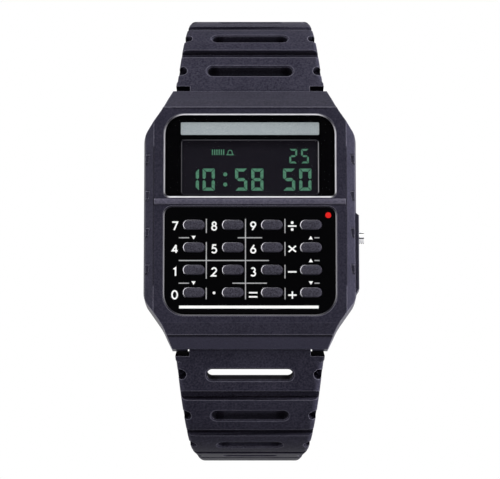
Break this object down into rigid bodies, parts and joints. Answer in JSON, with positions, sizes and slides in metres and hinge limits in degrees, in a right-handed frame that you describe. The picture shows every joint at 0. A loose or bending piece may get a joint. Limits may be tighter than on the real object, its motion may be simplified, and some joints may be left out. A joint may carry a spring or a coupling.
{
  "type": "calculator wristwatch",
  "caption": "Digital wristwatch with a calculator keypad below its display, in a moulded resin case, on an open two-piece resin band with buckle, tongue and keeper.",
  "frame": {"origin": "middle of the case back's outer face", "axes": "+Z leaves the dial, +Y points to 12 o'clock and +X to 3 o'clock"},
  "size_m": [0.0352, 0.0747, 0.0729],
  "materials": {
    "case_resin": "satin moulded resin",
    "band_resin": "matte moulded resin",
    "lens": "clear polished resin",
    "panel_black": "glossy black",
    "trim_silver": "fine grained silver film",
    "key_rubber": "matte",
    "rubber_black": "matte",
    "module_plastic": "moulded",
    "board_green": "printed board",
    "lcd": "dark display glass",
    "brass": "plain",
    "steel": "brushed stainless steel"
  },
  "bodies": {
    "case": {"case_body": "case_resin", "lens": "lens", "lens_mask": "panel_black", "trim_strip": "trim_silver", "keypad_panel": "panel_black", "contact_sheet": "rubber_black", "module_frame": "module_plastic", "circuit_board": "board_green", "battery": "steel", "battery_clip": "steel", "chip": "module_plastic", "crystal": "steel", "buzzer_disc": "brass", "lcd_glass": "lcd", "connector_strips": "rubber_black", "back_gasket": "rubber_black", "case_back": "steel", "case_screws": "steel", "button_seal": "rubber_black", "spring_bar_12": "steel", "spring_bar_6": "steel"},
    "key_7": {"key_7": "key_rubber"},
    "key_8": {"key_8": "key_rubber"},
    "key_9": {"key_9": "key_rubber"},
    "key_divide": {"key_divide": "key_rubber"},
    "key_4": {"key_4": "key_rubber"},
    "key_5": {"key_5": "key_rubber"},
    "key_6": {"key_6": "key_rubber"},
    "key_multiply": {"key_multiply": "key_rubber"},
    "key_1": {"key_1": "key_rubber"},
    "key_2": {"key_2": "key_rubber"},
    "key_3": {"key_3": "key_rubber"},
    "key_minus": {"key_minus": "key_rubber"},
    "key_0": {"key_0": "key_rubber"},
    "key_point": {"key_point": "key_rubber"},
    "key_equals": {"key_equals": "key_rubber"},
    "key_plus": {"key_plus": "key_rubber"},
    "mode_button": {"mode_button": "steel", "button_clip": "steel"},
    "band_12": {"band_12": "band_resin", "buckle_bar": "steel"},
    "band_6": {"band_6": "band_resin"},
    "buckle": {"buckle_frame": "steel"},
    "tongue": {"buckle_tongue": "steel"},
    "keeper": {"keeper": "band_resin"}
  },
  "joints": [
    {"name": "key_7_press", "type": "slide", "parent": "case", "child": "key_7", "axis": [0, 0, -1], "range_m": [0, 0.0004], "stiffness_N_per_m": 1000, "springref_m": -0.0002},
    {"name": "key_8_press", "type": "slide", "parent": "case", "child": "key_8", "axis": [0, 0, -1], "range_m": [0, 0.0004], "stiffness_N_per_m": 1000, "springref_m": -0.0002},
    {"name": "key_9_press", "type": "slide", "parent": "case", "child": "key_9", "axis": [0, 0, -1], "range_m": [0, 0.0004], "stiffness_N_per_m": 1000, "springref_m": -0.0002},
    {"name": "key_divide_press", "type": "slide", "parent": "case", "child": "key_divide", "axis": [0, 0, -1], "range_m": [0, 0.0004], "stiffness_N_per_m": 1000, "springref_m": -0.0002},
    {"name": "key_4_press", "type": "slide", "parent": "case", "child": "key_4", "axis": [0, 0, -1], "range_m": [0, 0.0004], "stiffness_N_per_m": 1000, "springref_m": -0.0002},
    {"name": "key_5_press", "type": "slide", "parent": "case", "child": "key_5", "axis": [0, 0, -1], "range_m": [0, 0.0004], "stiffness_N_per_m": 1000, "springref_m": -0.0002},
    {"name": "key_6_press", "type": "slide", "parent": "case", "child": "key_6", "axis": [0, 0, -1], "range_m": [0, 0.0004], "stiffness_N_per_m": 1000, "springref_m": -0.0002},
    {"name": "key_multiply_press", "type": "slide", "parent": "case", "child": "key_multiply", "axis": [0, 0, -1], "range_m": [0, 0.0004], "stiffness_N_per_m": 1000, "springref_m": -0.0002},
    {"name": "key_1_press", "type": "slide", "parent": "case", "child": "key_1", "axis": [0, 0, -1], "range_m": [0, 0.0004], "stiffness_N_per_m": 1000, "springref_m": -0.0002},
    {"name": "key_2_press", "type": "slide", "parent": "case", "child": "key_2", "axis": [0, 0, -1], "range_m": [0, 0.0004], "stiffness_N_per_m": 1000, "springref_m": -0.0002},
    {"name": "key_3_press", "type": "slide", "parent": "case", "child": "key_3", "axis": [0, 0, -1], "range_m": [0, 0.0004], "stiffness_N_per_m": 1000, "springref_m": -0.0002},
    {"name": "key_minus_press", "type": "slide", "parent": "case", "child": "key_minus", "axis": [0, 0, -1], "range_m": [0, 0.0004], "stiffness_N_per_m": 1000, "springref_m": -0.0002},
    {"name": "key_0_press", "type": "slide", "parent": "case", "child": "key_0", "axis": [0, 0, -1], "range_m": [0, 0.0004], "stiffness_N_per_m": 1000, "springref_m": -0.0002},
    {"name": "key_point_press", "type": "slide", "parent": "case", "child": "key_point", "axis": [0, 0, -1], "range_m": [0, 0.0004], "stiffness_N_per_m": 1000, "springref_m": -0.0002},
    {"name": "key_equals_press", "type": "slide", "parent": "case", "child": "key_equals", "axis": [0, 0, -1], "range_m": [0, 0.0004], "stiffness_N_per_m": 1000, "springref_m": -0.0002},
    {"name": "key_plus_press", "type": "slide", "parent": "case", "child": "key_plus", "axis": [0, 0, -1], "range_m": [0, 0.0004], "stiffness_N_per_m": 1000, "springref_m": -0.0002},
    {"name": "mode_button_press", "type": "slide", "parent": "case", "child": "mode_button", "axis": [-1, 0, 0], "range_m": [0, 0.0006], "stiffness_N_per_m": 1500, "springref_m": -0.0002},
    {"name": "band_12_hinge", "type": "hinge", "parent": "case", "child": "band_12", "pos_m": [0, 0.0199, 0.0031], "axis": [-1, 0, 0], "range_deg": [0, 18]},
    {"name": "band_6_hinge", "type": "hinge", "parent": "case", "child": "band_6", "pos_m": [0, -0.0199, 0.0031], "axis": [1, 0, 0], "range_deg": [0, 18]},
    {"name": "buckle_hinge", "type": "hinge", "parent": "band_12", "child": "buckle", "pos_m": [0, 0.02919, -0.05478], "axis": [1, 0, 0], "range_deg": [-20, 60]},
    {"name": "tongue_hinge", "type": "hinge", "parent": "buckle", "child": "tongue", "pos_m": [0, 0.02919, -0.05478], "axis": [1, 0, 0], "range_deg": [0, 60]},
    {"name": "keeper_slide", "type": "slide", "parent": "band_12", "child": "keeper", "axis": [0, -0.1759, -0.9844], "range_m": [-0.003, 0.003]}
  ]
}
